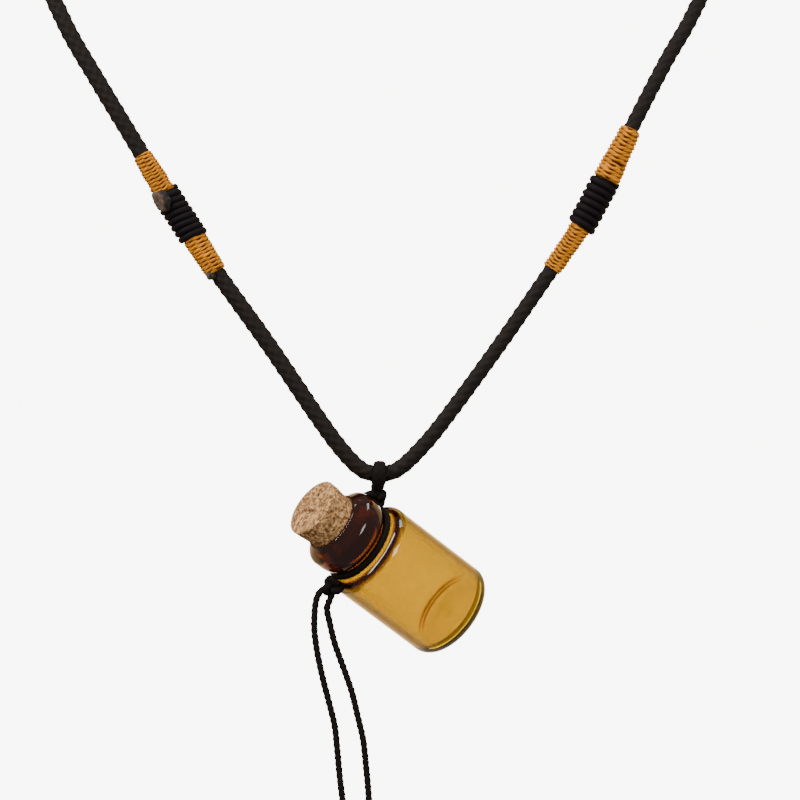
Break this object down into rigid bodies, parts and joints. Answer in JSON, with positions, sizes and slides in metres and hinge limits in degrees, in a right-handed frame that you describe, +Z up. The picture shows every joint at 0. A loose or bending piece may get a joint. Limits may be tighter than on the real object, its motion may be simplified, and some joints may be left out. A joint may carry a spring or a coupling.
{
  "type": "bottle pendant necklace",
  "caption": "Dark braided cord necklace with orange and dark wrappings, carrying a tilted amber glass bottle with a cork and two loose cord tails",
  "frame": {"origin": "middle of the nape of the neck cord, where it rests on a neck or a hook", "axes": "+Z up, +X to the right of someone facing the pendant, +Y from the pendant's front towards its back"},
  "size_m": [0.1582, 0.0594, 0.3085],
  "materials": {
    "dark_cord": "near-black brown braided cord",
    "thin_cord": "near-black brown thin cord",
    "coil_cord": "near-black thin cord in close turns",
    "orange_thread": "orange thread wound tightly",
    "melted_cord": "melted and hardened cord end",
    "amber_glass": "clear amber glass, dark at the lip",
    "cork": "natural cork with dark pits"
  },
  "bodies": {
    "necklace": {"neck_cord": "dark_cord", "left_lower_wrap": "orange_thread", "left_coil": "coil_cord", "left_upper_wrap": "orange_thread", "right_lower_wrap": "orange_thread", "right_coil": "coil_cord", "right_upper_wrap": "orange_thread", "burnt_cord_end": "melted_cord", "nape_joint": "dark_cord"},
    "pendant": {"bottle": "amber_glass", "hang_loop": "thin_cord", "top_knot": "thin_cord", "neck_turn": "thin_cord", "side_knot": "thin_cord", "tail_left": "thin_cord", "tail_right": "thin_cord"},
    "cork": {"cork": "cork"}
  },
  "joints": [
    {"name": "pendant_swing", "type": "hinge", "parent": "necklace", "child": "pendant", "pos_m": [0, -0.04, -0.232], "axis": [1, 0, 0], "range_deg": [-50, 50]},
    {"name": "cork_pull", "type": "slide", "parent": "pendant", "child": "cork", "axis": [-0.7018, -0.454, 0.549], "range_m": [0, 0.022]}
  ]
}
